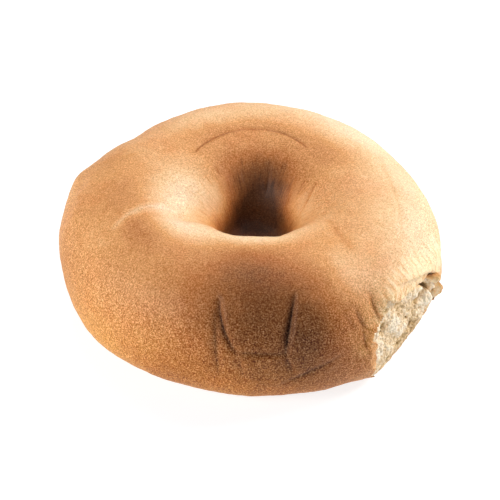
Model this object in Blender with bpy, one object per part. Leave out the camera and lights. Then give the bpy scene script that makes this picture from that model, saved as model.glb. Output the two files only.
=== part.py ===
"""A plain bagel, baked beside others: one ring of dough with a funnel hole and a flat base.

The ring is a closed skin of points. Each point has a ring angle, counted round the hole from +X
towards +Y, and a section angle, counted round the dough from the outer side (0) over the crown (90)
to the hole (180) and back under the base (270). The skin gets its folds as relief along its own
normal, then the face where the bagel broke from its neighbour is cut with torn crumb on it.
Run it with: blender --background --python part.py
"""

import math

import bmesh
import bpy
import numpy as np
from mathutils import Vector, noise

MM = 0.001

# Driving dimensions of the ring, in millimetres
RIM_REACH = 54.7  # mean distance from the hole's middle to the outer side
HOLE_RADIUS = 9.3  # at the waist, the narrowest level of the hole
CROWN_RISE = 21.1  # from the widest level up to the crown
FOOT_DROP = 16.2  # from the widest level down to the flat base
HOLE_PLACE = (1.6, -3.7)  # the hole's middle, which isn't the middle of the outline

SECTION_POWER = 2.2  # 2 is an ellipse, and more is squarer
UNDERSIDE_DROP = 18.2  # where the lower half would end, if it weren't pressed flat
UNDERSIDE_POWER = 5.0  # how tightly the lower half rounds into the base

# Slow waves that put the outline out of round: waves round the ring, height in mm, place in degrees
OUTLINE_WAVES = ((1, 2.5, 115.0), (2, 1.1, -50.0), (3, 1.3, -42.5), (4, 0.4, -8.0), (5, 0.3, 16.0))

# How far a degree goes on the skin, in mm, for relief on the outer side and near the hole
OUTER_STEP = (0.85, 0.37)
CROWN_STEP = (0.52, 0.39)
HOLE_STEP = (0.26, 0.38)

# The torn face, where the neighbour sat against the outer side: an upright flat
TEAR_DIRECTION = -30.0  # degrees round the ring
TEAR_REACH = 49.9  # from the hole's middle to the face, in mm
LIP_HEIGHT = 0.6  # of the broken crust that stands round the face
LIP_WIDTH = 1.2
TEAR_TOP = ((26.8, 0.42), (34.6, 1.2))  # two lines that bound it: height at its middle, fall per mm
TOP_ROUNDING = 0.8  # how far the cut fades out under those lines
CRUMB_TOP = ((21.2, 0.2), (14.5, 1.0))  # over both of these lines the skin is only pressed flat
TEAR_FOOT = (1.0, 0.0032, -17.0)  # the crumb's lower edge: height, climb per mm squared, lowest place
FOOT_TRIM = (1.1, 3.8)  # how far behind the face the crust under it ends, at its right and left
TEAR_LEFT = -20.0  # beyond this place along the face the skin is only pressed flat, too
PRESSED_PROUD = 0.3  # how far the pressed skin stands before the flat
ROUNDING = 1.2  # how far the cut rounds over into the skin
CRUMB_SLANT = 1.4  # how much further in the crumb's left end lies
SLANT_ENDS = (-20.0, 6.0)  # the slant's deep and shallow ends, along the face
FOOT_SLOPE = (0.6, 4.0)  # how far in the crumb lies at the base, and the level where that ends
LUMP_SIZE = 4.0  # of the crumb's lumps, in mm
LUMP_HEIGHT = 0.9
LUMP_SINK = 0.3  # how far the crumb lies behind the flat on average

# The crumb's larger lumps and hollows: place along the face and above the base, half size, height
CRUMB_LUMPS = (
    ((11.3, 11.6), (3.2, 3.4), 1.6),
    ((4.6, 18.0), (3.2, 1.6), 0.7),
    ((6.0, 14.4), (2.4, 1.7), -1.3),
    ((-13.5, 17.5), (1.2, 2.0), -0.9),
    ((-8.5, 15.0), (2.8, 3.0), 0.9),
    ((2.0, 7.6), (1.2, 1.0), -0.8),
    ((-5.0, 21.0), (1.8, 1.4), -1.0),
    ((-15.5, 10.0), (2.0, 3.4), 0.8),
    ((-3.0, 10.4), (2.4, 2.0), 0.7),
)

# The groove round the crumb's pillow, and the curl of crust outside it, each on a bent line in the face
GROOVE_LINE = ((3.6, 20.8), (14.6, 15.5), (15.6, 4.5))
GROOVE_DEPTH = 1.8
GROOVE_WIDTH = 0.8
CURL_LINE = ((7.6, 21.2), (17.9, 16.4), (18.2, 5.0))
CURL_HEIGHT = 2.2
CURL_WIDTH = 1.3

GATHER_WIDTH = 0.4  # of the fine gathers in the hole

# The skin is made this fine, then thinned where it is smooth
RING_STEPS = 420
SECTION_STEPS = 150
SKIN_TRIANGLES = 11400

CRUST_COLOUR = (0.56, 0.31, 0.12, 1.0)
CRUST_ROUGHNESS = 0.55


def clear_scene():
    for obj in list(bpy.data.objects):
        bpy.data.objects.remove(obj, do_unlink=True)


def dough_skin(ring, section):
    """Points of the plain ring, without folds, for arrays of ring and section angles in radians."""
    reach = np.full_like(ring, RIM_REACH)
    for waves, height, place in OUTLINE_WAVES:
        reach += height * np.cos(waves * (ring - math.radians(place)))
    middle = (reach + HOLE_RADIUS) / 2
    half_width = (reach - HOLE_RADIUS) / 2
    across, up = np.cos(section), np.sin(section)
    square = (np.abs(across) ** SECTION_POWER + np.abs(up) ** SECTION_POWER) ** (-1 / SECTION_POWER)
    radius = middle + half_width * across * square
    level = CROWN_RISE * up * square
    sunk = np.maximum(-level, 1e-6)
    pressed = (sunk**-UNDERSIDE_POWER + UNDERSIDE_DROP**-UNDERSIDE_POWER) ** (-1 / UNDERSIDE_POWER)
    level = np.where(level < 0, -pressed, level)
    return np.stack([radius * np.cos(ring), radius * np.sin(ring), level], axis=-1)


def skin_normals(points):
    """Outward normals of a closed grid of points."""
    along_ring = np.roll(points, -1, axis=0) - np.roll(points, 1, axis=0)
    along_section = np.roll(points, -1, axis=1) - np.roll(points, 1, axis=1)
    normal = np.cross(along_ring, along_section)
    return normal / np.linalg.norm(normal, axis=-1, keepdims=True)


def share_between(value, low, high):
    """0 at the low end, 1 at the high end, and straight between."""
    return np.clip((value - low) / (high - low), 0.0, 1.0)


def turned(degrees):
    """The same angle, between -180 and 180 degrees."""
    return (degrees + 180.0) % 360.0 - 180.0


def from_bent_line(x, y, start, bend, end):
    """For each place: its distance from a bent line, how far left of it, and the share along it."""
    nearest = np.full_like(x, 1e9)
    side = np.zeros_like(x)
    share = np.zeros_like(x)
    for t in np.linspace(0, 1, 41):
        here, head = [], []
        for a, b, c in zip(start, bend, end):
            here.append(a * (1 - t) ** 2 + 2 * b * t * (1 - t) + c * t * t)
            head.append((b - a) * (1 - t) + (c - b) * t)
        away = np.hypot(x - here[0], y - here[1])
        left = (head[0] * (y - here[1]) - head[1] * (x - here[0])) / math.hypot(*head)
        closer = away < nearest
        nearest = np.where(closer, away, nearest)
        side = np.where(closer, left, side)
        share = np.where(closer, t, share)
    return nearest, side, share


class Relief:
    """Height to add along the normal, in mm, at each ring and section angle of the skin."""

    def __init__(self, ring, section):
        self.ring = np.degrees(ring)
        self.section = np.degrees(section)
        self.height = np.zeros_like(ring)

    def flat_place(self, around, step):
        """The skin unrolled about one place, in mm."""
        across = turned(self.ring - around[0]) * step[0]
        up = turned(self.section - around[1]) * step[1]
        return across, up

    def swell(self, around, size, height, step=OUTER_STEP):
        """A soft bulge, or a dent where the height is negative. The size is in mm, across and up."""
        across, up = self.flat_place(around, step)
        self.height += height * np.exp(-((across / size[0]) ** 2) - (up / size[1]) ** 2)

    def fold(self, start, end, sag, depth, width, rise=0.0, fade=5.0, step=OUTER_STEP):
        """A crease on an arc that sags to its left. Its left side stands up by rise, which fades."""
        across, up = self.flat_place(start, step)
        run = ((end[0] - start[0]) * step[0], (end[1] - start[1]) * step[1])
        length = math.hypot(*run)
        bend = (run[0] / 2 - 2 * sag * run[1] / length, run[1] / 2 + 2 * sag * run[0] / length)
        away, side, share = from_bent_line(across, up, (0.0, 0.0), bend, run)
        strength = np.sin(math.pi * (0.08 + 0.84 * share)) ** 0.7
        groove = -depth * np.exp(-away / width)
        shelf = rise * np.tanh(side / width) * np.exp(-away / fade)
        self.height += strength * (groove + shelf)


def add_folds(relief):
    """The folds and dimples that the dough kept from shaping and proving."""
    # The pinched flap on the front: two upright creases joined by a level one, and what runs on below
    relief.fold((-102.5, 52.0), (-95.8, 14.0), -0.8, 1.7, 0.75, 0.9, 3.5)
    relief.fold((-75.6, 56.0), (-80.4, 14.0), -0.6, 1.6, 0.7, 0.8, 3.0)
    relief.fold((-80.8, 13.5), (-95.8, 14.5), 0.4, 0.8, 0.5, 0.3, 4.0)
    relief.fold((-103.0, 42.0), (-100.6, -8.0), 0.0, 0.8, 1.0, 0.3, 4.0)
    relief.fold((-94.6, 9.0), (-93.4, -7.0), 0.0, 0.5, 0.6, 0.3, 4.0)
    relief.fold((-80.4, 12.0), (-78.6, -3.0), 0.0, 0.6, 0.6, 0.3, 3.0)
    relief.swell((-88.5, 36.0), (6.0, 7.0), -0.7)
    # The long low crease under it, towards the torn face
    relief.fold((-81.5, -14.5), (-65.0, 5.0), 0.2, 0.7, 0.6, 0.2)
    # The fold left of the hole: a ridge in two parts, with a hollow behind it
    relief.fold((-159.5, 65.0), (-170.5, 104.0), 0.5, -0.6, 0.8, 0.9, 3.5, CROWN_STEP)
    relief.fold((-168.0, 99.0), (-171.0, 118.0), 0.6, -0.4, 0.8, 0.2, 3.0, CROWN_STEP)
    relief.swell((-162.0, 116.0), (6.5, 6.5), -1.5, CROWN_STEP)
    # The arched crease behind the hole
    relief.fold((131.0, 105.5), (56.0, 103.5), 2.7, 1.3, 0.55, -0.9, 3.0, CROWN_STEP)
    # The shallow hollow right of the hole
    relief.swell((-38.0, 97.0), (6.0, 5.0), -1.1, CROWN_STEP)
    relief.fold((-27.0, 112.0), (-43.0, 78.0), -1.0, 0.3, 1.2, step=CROWN_STEP)
    # The funnel: drawn in at both sides, and full at the front
    relief.swell((-93.0, 127.0), (15.0, 7.0), 1.0, CROWN_STEP)
    relief.swell((-138.0, 120.0), (8.0, 6.0), 0.8, CROWN_STEP)
    relief.swell((-46.0, 122.0), (8.0, 6.0), 0.7, CROWN_STEP)
    relief.swell((180.0, 128.0), (13.0, 9.0), -2.6, CROWN_STEP)
    relief.swell((-6.0, 128.0), (13.0, 9.0), -2.2, CROWN_STEP)
    # A soft shoulder that bounds the browned top on the right
    relief.fold((-24.0, 58.0), (26.0, 68.0), 2.0, 0.35, 1.0, 0.25)
    # The puckers drawn in by the tear, and the pit at its left edge
    relief.fold((-56.8, 37.0), (-54.2, 17.0), -0.3, 0.8, 0.8, 0.4, 3.0)
    relief.fold((-61.0, 38.0), (-58.0, 21.0), -0.3, 0.4, 0.8, 0.2, 4.0)
    relief.fold((-49.6, 44.0), (-49.2, 22.0), -0.2, 0.8, 0.8, 0.4, 3.0)
    relief.fold((-56.4, 21.0), (-55.8, 3.0), 0.2, 0.7, 0.7, 0.2, 4.0)
    # Gathers in the hole: the long one on its right, and shorter ones round the back
    relief.fold((27.0, 119.0), (9.0, 150.0), 0.0, 0.9, 0.5, 0.3, 3.0, HOLE_STEP)
    for start, end, depth in (
        ((37.0, 124.0), (31.0, 140.0), 0.3),
        ((48.0, 130.0), (41.0, 150.0), 0.35),
        ((62.0, 124.0), (58.0, 143.0), 0.3),
        ((76.0, 126.0), (74.0, 146.0), 0.35),
        ((101.0, 126.0), (103.0, 142.0), 0.3),
    ):
        relief.fold(start, end, 0.0, depth, GATHER_WIDTH, step=HOLE_STEP)


def add_outline(relief):
    """Bulges and flats that the slow waves leave out of the outline."""
    relief.swell((160.0, 30.0), (5.5, 5.5), 1.3)
    relief.swell((136.0, 46.0), (6.0, 7.0), -0.8)
    relief.swell((-149.0, -29.0), (11.0, 7.0), 0.8)
    relief.swell((-122.0, -32.0), (9.0, 6.0), 0.3)
    relief.swell((4.0, 16.0), (12.0, 8.0), 0.6)
    relief.swell((-172.0, -8.0), (13.0, 7.0), -0.4)
    relief.swell((-94.0, -39.0), (11.0, 7.0), 0.3)
    relief.swell((76.0, 48.0), (13.0, 9.0), -0.6)
    # The side by the torn face: its foot spread against the neighbour, its shoulder drawn down
    relief.swell((-49.0, -36.0), (4.0, 5.0), 0.3)
    relief.swell((-46.0, -48.0), (7.0, 6.0), 1.3)
    relief.swell((-54.5, -2.0), (3.5, 9.0), 0.9)
    relief.swell((-12.0, -30.0), (5.0, 6.0), 1.0)
    relief.swell((-14.0, 8.0), (6.0, 6.0), -0.5)
    relief.swell((-20.0, 36.0), (10.0, 6.0), -1.4)
    relief.swell((-52.0, 26.0), (6.0, 8.0), -1.5)


def crumb_relief(along, level):
    """Height of the torn crumb, in mm: lumps and hollows, a groove, and a curl of crust at the right."""
    height = np.full_like(along, -LUMP_SINK)
    for middle, size, rise in CRUMB_LUMPS:
        away = ((along - middle[0]) / size[0]) ** 2 + ((level - middle[1]) / size[1]) ** 2
        height += rise * np.exp(-away)
    away, side, share = from_bent_line(along, level, *GROOVE_LINE)
    height -= GROOVE_DEPTH * np.exp(-((away / GROOVE_WIDTH) ** 2))
    away, side, share = from_bent_line(along, level, *CURL_LINE)
    height += CURL_HEIGHT * np.sin(math.pi * (0.1 + 0.8 * share)) * np.exp(-((away / CURL_WIDTH) ** 2))
    height -= CRUMB_SLANT * (1.0 - share_between(along, *SLANT_ENDS))
    height -= FOOT_SLOPE[0] * (1.0 - share_between(level, 0.0, FOOT_SLOPE[1]))
    return height


def tear_face(points):
    """Cuts the skin back to the torn face, and leaves broken and pressed crust standing round it."""
    turn = math.radians(TEAR_DIRECTION)
    out = np.array([math.cos(turn), math.sin(turn), 0.0])
    along = np.array([-math.sin(turn), math.cos(turn), 0.0])
    beyond = points @ out - TEAR_REACH
    lip = LIP_HEIGHT * np.exp(-((beyond / LIP_WIDTH) ** 2))
    points = points + skin_normals(points) * lip[..., None]
    beyond = points @ out - TEAR_REACH
    across, level = points @ along, points[..., 2] + FOOT_DROP

    # Where the crumb is, and how far each point of the face stands before the flat
    half = ROUNDING / 2
    over_crumb = level - np.maximum(*(height - fall * across for height, fall in CRUMB_TOP))
    crumb = 1.0 - share_between(over_crumb, -half, half)
    crumb *= share_between(across, TEAR_LEFT - half, TEAR_LEFT + half)
    relief = crumb_relief(across, level)
    for place in zip(*np.nonzero(beyond > -LUMP_SIZE)):
        at = Vector((across[place], 0.0, points[place][2])) / LUMP_SIZE
        relief[place] += LUMP_HEIGHT * noise.fractal(at, 1.0, 2.0, 3, noise_basis="PERLIN_ORIGINAL")
    face = crumb * relief + (1.0 - crumb) * PRESSED_PROUD

    # The crust under the crumb's lower edge, which ends behind the face
    foot, climb, lowest = TEAR_FOOT
    over_foot = level - foot - climb * (across - lowest) ** 2
    under = 1.0 - share_between(over_foot, -half, half)
    under *= share_between(across, TEAR_LEFT, TEAR_LEFT + half)
    trim = FOOT_TRIM[1] + (FOOT_TRIM[0] - FOOT_TRIM[1]) * share_between(across, *SLANT_ENDS)
    face = face * (1.0 - under) - trim * under

    under_top = np.minimum(*(height - level - fall * across for height, fall in TEAR_TOP))
    cut = share_between(beyond - face, 0.0, ROUNDING) * share_between(under_top, 0.0, TOP_ROUNDING)
    return points + out * (cut * (face - beyond))[..., None]


def ring_points():
    """The finished skin: a grid of points in mm, with the base at zero."""
    steps = np.meshgrid(
        np.arange(RING_STEPS) * 2 * math.pi / RING_STEPS,
        np.arange(SECTION_STEPS) * 2 * math.pi / SECTION_STEPS,
        indexing="ij",
    )
    ring, section = steps
    points = dough_skin(ring, section)
    relief = Relief(ring, section)
    add_outline(relief)
    add_folds(relief)
    points = points + skin_normals(points) * relief.height[..., None]
    points = tear_face(points)
    points += np.array([*HOLE_PLACE, FOOT_DROP])
    points[..., 2] = np.maximum(points[..., 2], 0.0)
    return points


def crust_material():
    material = bpy.data.materials.new("golden crust")
    material.use_nodes = True
    shader = material.node_tree.nodes["Principled BSDF"]
    shader.inputs["Base Color"].default_value = CRUST_COLOUR
    shader.inputs["Roughness"].default_value = CRUST_ROUGHNESS
    shader.inputs["Metallic"].default_value = 0.0
    return material


def build_bagel():
    points = ring_points()
    skin = bmesh.new()
    rows = [[skin.verts.new(Vector(p) * MM) for p in row] for row in points]
    for i in range(RING_STEPS):
        for j in range(SECTION_STEPS):
            near, far = rows[i], rows[(i + 1) % RING_STEPS]
            k = (j + 1) % SECTION_STEPS
            skin.faces.new((near[j], far[j], far[k], near[k]))
    bmesh.ops.recalc_face_normals(skin, faces=skin.faces)
    mesh = bpy.data.meshes.new("bagel")
    skin.to_mesh(mesh)
    skin.free()
    mesh.shade_smooth()
    bagel = bpy.data.objects.new("bagel", mesh)
    bpy.context.scene.collection.objects.link(bagel)
    mesh.materials.append(crust_material())
    thin = bagel.modifiers.new("thin the smooth skin", "DECIMATE")
    thin.ratio = SKIN_TRIANGLES / (2 * RING_STEPS * SECTION_STEPS)
    return bagel


def main():
    clear_scene()
    build_bagel()


main()
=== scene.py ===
"""A plain bagel from a batch that was baked touching: browned crust with the folds of its shaping,
pale where its neighbour sat, and the torn crumb where that neighbour was pulled away.

Sizes are in millimetres. The mesh of each piece is worked out in millimetres and then made metres.
A ring angle counts round the hole from +X towards +Y, and a section angle counts round the dough
from its outer side (0) over the crown (90) to the hole (180) and back under the base (270).
"""

import math

import bpy
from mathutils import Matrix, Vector


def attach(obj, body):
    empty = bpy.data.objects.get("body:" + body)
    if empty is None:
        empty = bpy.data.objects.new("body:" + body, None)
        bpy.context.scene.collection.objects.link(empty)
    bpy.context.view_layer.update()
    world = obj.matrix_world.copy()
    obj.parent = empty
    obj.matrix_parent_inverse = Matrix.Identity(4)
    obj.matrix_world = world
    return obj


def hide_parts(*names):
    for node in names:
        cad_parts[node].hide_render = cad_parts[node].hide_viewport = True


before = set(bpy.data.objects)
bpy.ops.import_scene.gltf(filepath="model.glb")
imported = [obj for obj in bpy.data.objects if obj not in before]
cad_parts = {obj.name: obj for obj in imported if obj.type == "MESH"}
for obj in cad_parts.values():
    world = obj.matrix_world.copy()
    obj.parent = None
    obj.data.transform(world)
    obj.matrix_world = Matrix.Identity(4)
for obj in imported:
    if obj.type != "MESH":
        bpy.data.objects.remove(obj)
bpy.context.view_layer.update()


# The crust: one ring of dough, rolled, joined and proved, then boiled and baked. The skin keeps the
# folds of its shaping and is drawn down into the hole. It is darkest on its open front, and stayed
# pale where the neighbour shaded it. Its colour also carries painted shade in the folds and down the
# hole, and painted highlights where the crown and the hole's walls face the light. A node tree works
# the skin out from its sizes.

METRES_PER_MM = 0.001
RIM_REACH = 54.7  # mean distance from the hole's middle to the outer side
HOLE_RADIUS = 9.3  # at the waist, the narrowest level of the hole
CROWN_RISE = 21.1  # from the widest level up to the crown
FOOT_DROP = 16.2  # from the widest level down to the flat base
HOLE_PLACE = (1.6, -3.7)  # the hole's middle
SECTION_POWER = 2.2  # 2 is an ellipse, and more is squarer
UNDERSIDE_DROP = 18.2  # where the lower half would end, if it weren't pressed flat
UNDERSIDE_POWER = 5.0  # how tightly the lower half rounds into the base
OUTLINE_WAVES = ((1, 2.5, 115.0), (2, 1.1, -50.0), (3, 1.3, -42.5), (4, 0.4, -8.0), (5, 0.3, 16.0))

# How far a degree goes on the skin, in mm, round the ring and round the section
OUTER_STEP = (0.85, 0.37)
CROWN_STEP = (0.52, 0.39)
HOLE_STEP = (0.26, 0.38)

# Its fine unevenness: lumps per mm, detail, roughness and height
UNEVENNESS = ((0.11, 2.0, 0.5, 0.9), (0.45, 3.0, 0.6, 0.22))

RING_STEPS = 520
SECTION_STEPS = 190
CLOSER_ROUND_RING = (0.45, -62.0)  # steps are this much closer together about this ring angle
CLOSER_ROUND_SECTION = (0.30, 45.0)

# The torn face: an upright flat, cut back from where the neighbour sat. Places along it count from
# its middle, positive to the right, and levels count from the base
TEAR_DIRECTION = -30.0  # degrees round the ring
TEAR_REACH = 49.9  # from the hole's middle to the face
TEAR_TOP = ((26.8, 0.42), (34.6, 1.2))  # two lines that bound it: level at its middle, fall per mm
TEAR_FOOT = (1.0, 0.0032, -17.0)  # its lower edge: level, climb per mm squared, and the lowest place
TEAR_SOFTNESS = (0.8, 0.3)  # the distance over which it starts, under its top and over its foot
TEAR_WAVER = 0.9  # how far its ragged edge wanders
WAVER_LUMPS = (0.35, 4.0, 0.65)  # lumps per mm of that edge, their detail and roughness
FACE_SLANT = 1.4  # how much further in its left end lies
SLANT_ENDS = (6.0, -20.0)  # places along it where the slant starts and is full
SLANT_LEVELS = (9.0, 3.0)  # and the levels, for its edge against the crust
LIP_HEIGHT = 0.6  # of the broken crust that stands round it
LIP_WIDTH = 1.2
BED_DEPTH = 3.4  # how far the crust sinks behind the crumb that fills it

# The skin that isn't torn there, but pressed flat: over both lines, and at the left
CRUMB_TOP = ((21.2, 0.2), (14.5, 1.0))
CRUMB_TOP_LUMPS = (1.1, 2.4)  # lumps per mm of that ragged border, and their height
STRIP_RIGHT = (-19.7, -20.3)  # places between which the left strip starts
STRIP_TOP = (18.6, 17.6)  # levels between which it starts
PRESSED_PROUD = 0.3  # how far the pressed skin stands before the face

# The crust under the crumb, which ends behind the face
FOOT_TRIM = (1.1, 2.4)  # how far behind, at its right and left
FOOT_TRIM_LEVELS = (1.0, 0.3)  # over the foot's line, where that starts and is full
FOOT_TRIM_LEFT = (-22.5, -20.5)  # places along the face between which it starts

tear_turn = math.radians(TEAR_DIRECTION)
TEAR_OUT = (math.cos(tear_turn), math.sin(tear_turn), 0.0)
TEAR_ALONG = (-math.sin(tear_turn), math.cos(tear_turn), 0.0)

# Soft bulges and hollows: ring and section angle, size across and up, height
OUTER_SWELLS = (
    (160.0, 30.0, 5.5, 5.5, 1.3),
    (136.0, 46.0, 6.0, 7.0, -0.8),
    (-149.0, -29.0, 11.0, 7.0, 0.8),
    (-172.0, -8.0, 13.0, 7.0, -0.4),
    (-94.0, -39.0, 11.0, 7.0, 0.3),
    (76.0, 48.0, 13.0, 9.0, -0.6),
    (-49.0, -36.0, 4.0, 5.0, 0.3),
    (-12.0, -30.0, 5.0, 6.0, 1.0),
    (-20.0, 36.0, 10.0, 6.0, -1.4),
    (-52.0, 26.0, 6.0, 8.0, -1.5),
    (-88.5, 36.0, 6.0, 7.0, -0.7),
    (-46.0, -48.0, 7.0, 6.0, 1.3),
    (-54.5, -2.0, 3.5, 9.0, 0.9),
    (-14.0, 8.0, 6.0, 6.0, -0.5),
    (-122.0, -32.0, 9.0, 6.0, 0.3),
    (4.0, 16.0, 12.0, 8.0, 0.6),
)
CROWN_SWELLS = (
    (-162.0, 116.0, 6.5, 6.5, -1.5),
    (-38.0, 97.0, 6.0, 5.0, -1.1),
    (-93.0, 127.0, 15.0, 7.0, 1.0),
    (-138.0, 120.0, 8.0, 6.0, 0.8),
    (-46.0, 122.0, 8.0, 6.0, 0.7),
    (180.0, 128.0, 13.0, 9.0, -2.6),
    (-6.0, 128.0, 13.0, 9.0, -2.2),
)

# How much browner or paler than the rest: ring and section angle, size across and up, amount
BROWNED = (
    (-85.0, 25.0, 27.0, 22.0, 0.48),
    (-95.0, 76.0, 20.0, 12.0, 0.24),
    (-66.0, -15.0, 12.0, 8.0, 0.12),
    (-165.0, 5.0, 20.0, 12.0, 0.14),
    (-10.0, 45.0, 30.0, 16.0, -0.34),
    (50.0, 62.0, 30.0, 9.0, -0.36),
    (105.0, 70.0, 25.0, 6.0, -0.18),
    (-52.0, 62.0, 8.0, 8.0, -0.26),
    (42.0, 97.0, 14.0, 6.0, 0.16),
    (-120.0, -22.0, 12.0, 9.0, 0.2),
    (-73.0, 26.0, 6.0, 8.0, 0.16),
    (178.0, 84.0, 14.0, 8.0, 0.12),
)
# On the crown: painted highlights on the pale valley left of the hole, its inner slope and the near rim,
# and painted shade under the left fold's crest and behind the back crease
CROWN_PAINTED_LIGHT_AND_SHADE = (
    (174.0, 119.0, 15.0, 9.0, -0.4),
    (-143.0, 106.0, 13.0, 4.5, -0.34),
    (-95.0, 121.0, 24.0, 5.0, -0.46),
    (150.0, 134.0, 12.0, 7.0, -0.12),
    (-151.0, 79.0, 7.0, 5.0, 0.2),
    (93.0, 93.0, 20.0, 3.0, 0.1),
)
# In the hole: painted shade on its far wall, and painted light on its left and right walls
HOLE_PAINTED_LIGHT_AND_SHADE = (
    (82.0, 140.0, 11.0, 9.0, 0.56),
    (84.0, 162.0, 11.0, 8.0, 0.5),
    (145.0, 150.0, 4.5, 7.0, -0.2),
    (20.0, 146.0, 6.0, 8.0, -0.16),
)

# Folds on an arc: start and end angles, sag of the arc to its left, depth, width, and how much the
# left side stands up and over what distance
OUTER_FOLDS = (
    (-102.5, 52.0, -95.8, 14.0, -0.8, 1.7, 0.75, 0.9, 3.5),
    (-75.6, 56.0, -80.4, 14.0, -0.6, 1.6, 0.7, 0.8, 3.0),
    (-80.8, 13.5, -95.8, 14.5, 0.4, 0.8, 0.5, 0.3, 4.0),
    (-103.0, 42.0, -100.6, -8.0, 0.0, 0.8, 1.0, 0.3, 4.0),
    (-94.6, 9.0, -93.4, -7.0, 0.0, 0.5, 0.6, 0.3, 4.0),
    (-80.4, 12.0, -78.6, -3.0, 0.0, 0.6, 0.6, 0.3, 3.0),
    (-81.5, -14.5, -65.0, 5.0, 0.2, 0.7, 0.6, 0.2, 5.0),
    (-24.0, 58.0, 26.0, 68.0, 2.0, 0.35, 1.0, 0.25, 5.0),
    (-56.8, 37.0, -54.2, 17.0, -0.3, 0.8, 0.8, 0.4, 3.0),
    (-61.0, 38.0, -58.0, 21.0, -0.3, 0.4, 0.8, 0.2, 4.0),
    (-49.6, 44.0, -49.2, 22.0, -0.2, 0.8, 0.8, 0.4, 3.0),
    (-56.4, 21.0, -55.8, 3.0, 0.2, 0.7, 0.7, 0.2, 4.0),
)
CROWN_FOLDS = (
    (-159.5, 65.0, -170.5, 104.0, 0.5, -0.6, 0.8, 0.9, 3.5),
    (-168.0, 99.0, -171.0, 118.0, 0.6, -0.4, 0.8, 0.2, 3.0),
    (131.0, 105.5, 56.0, 103.5, 2.7, 1.3, 0.55, -0.9, 3.0),
    (-27.0, 112.0, -43.0, 78.0, -1.0, 0.3, 1.2, 0.0, 5.0),
)
HOLE_FOLDS = (
    (27.0, 119.0, 9.0, 150.0, 0.0, 0.9, 0.5, 0.3, 3.0),
    (37.0, 124.0, 31.0, 140.0, 0.0, 0.3, 0.4, 0.0, 5.0),
    (48.0, 130.0, 41.0, 150.0, 0.0, 0.35, 0.4, 0.0, 5.0),
    (62.0, 124.0, 58.0, 143.0, 0.0, 0.3, 0.4, 0.0, 5.0),
    (76.0, 126.0, 74.0, 146.0, 0.0, 0.35, 0.4, 0.0, 5.0),
    (101.0, 126.0, 103.0, 142.0, 0.0, 0.3, 0.4, 0.0, 5.0),
)


class Field:
    """A number that a node tree works out at every point, so that a tree is written as plain sums."""

    def __init__(self, tree, socket):
        self.tree = tree
        self.socket = socket

    def __add__(self, other):
        return maths("ADD", self, other)

    def __radd__(self, other):
        return maths("ADD", self, other)

    def __sub__(self, other):
        return maths("SUBTRACT", self, other)

    def __rsub__(self, other):
        return maths("SUBTRACT", other, self)

    def __mul__(self, other):
        return maths("MULTIPLY", self, other)

    def __rmul__(self, other):
        return maths("MULTIPLY", self, other)

    def __truediv__(self, other):
        return maths("DIVIDE", self, other)

    def __pow__(self, other):
        return maths("POWER", self, other)

    def __neg__(self):
        return maths("MULTIPLY", self, -1.0)


def plug(tree, value, socket):
    """Joins a field to a node's input, or sets the input where the value is a plain one."""
    if isinstance(value, Field):
        tree.links.new(value.socket, socket)
    else:
        socket.default_value = value


def put(tree, kind, inputs, output=0, **settings):
    """Puts a node in the tree, and gives the field that leaves it."""
    node = tree.nodes.new(kind)
    for name, value in settings.items():
        setattr(node, name, value)
    for name, value in inputs.items():
        plug(tree, value, node.inputs[name])
    return Field(tree, node.outputs[output])


def maths(operation, *values):
    tree = next(value.tree for value in values if isinstance(value, Field))
    return put(tree, "ShaderNodeMath", dict(enumerate(values)), operation=operation)


def vector_maths(operation, a, b, output="Vector"):
    tree = a.tree if isinstance(a, Field) else b.tree
    return put(tree, "ShaderNodeVectorMath", {0: a, 1: b}, output, operation=operation)


def scaled(vector, amount):
    return put(vector.tree, "ShaderNodeVectorMath", {0: vector, "Scale": amount}, operation="SCALE")


def vector_of(tree, x, y, z):
    return put(tree, "ShaderNodeCombineXYZ", {0: x, 1: y, 2: z})


def ramp(value, start, end, low=0.0, high=1.0):
    """Goes smoothly from low to high as the value goes from start to end."""
    inputs = {"Value": value, "From Min": start, "From Max": end, "To Min": low, "To Max": high}
    return put(value.tree, "ShaderNodeMapRange", inputs, interpolation_type="SMOOTHSTEP")


def noise(vector, scale, detail=2.0, roughness=0.5, output=0):
    """Soft noise from 0 to 1. A scale of 1 has lumps about 1 unit across."""
    inputs = {"Vector": vector, "Scale": scale, "Detail": detail, "Roughness": roughness}
    return put(vector.tree, "ShaderNodeTexNoise", inputs, output)


def hill(value, width):
    """1 where the value is 0, falling to nothing on both sides."""
    return maths("EXPONENT", -((value / width) ** 2.0))


def new_tree(name):
    return bpy.data.node_groups.new(name, "GeometryNodeTree")


def tree_input(tree, name, kind="NodeSocketFloat"):
    tree.interface.new_socket(name, in_out="INPUT", socket_type=kind)


def shifted(geometry, offset):
    """The shape with each point moved by an offset."""
    return put(geometry.tree, "GeometryNodeSetPosition", {"Geometry": geometry, "Offset": offset})


def kept(geometry, name, value):
    """The shape with a number kept at each point, for its material."""
    inputs = {"Geometry": geometry, "Name": name, "Value": value}
    node = "GeometryNodeStoreNamedAttribute"
    return put(geometry.tree, node, inputs, data_type="FLOAT", domain="POINT")


def kept_number(tree, name):
    """The number kept at each point under a name."""
    return put(tree, "GeometryNodeInputNamedAttribute", {"Name": name}, data_type="FLOAT")


def finish_tree(shape, entry):
    """Ends a tree: smooth shading, real copies of what it repeats, the finish, and the way out."""
    tree = shape.tree
    tree.interface.new_socket("Shape", in_out="OUTPUT", socket_type="NodeSocketGeometry")
    shape = put(tree, "GeometryNodeSetShadeSmooth", {"Geometry": shape})
    shape = put(tree, "GeometryNodeRealizeInstances", {"Geometry": shape})
    inputs = {"Geometry": shape, "Material": Field(tree, entry.outputs["Finish"])}
    shape = put(tree, "GeometryNodeSetMaterial", inputs)
    leaving = tree.nodes.new("NodeGroupOutput")
    plug(tree, shape, leaving.inputs["Shape"])


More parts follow.
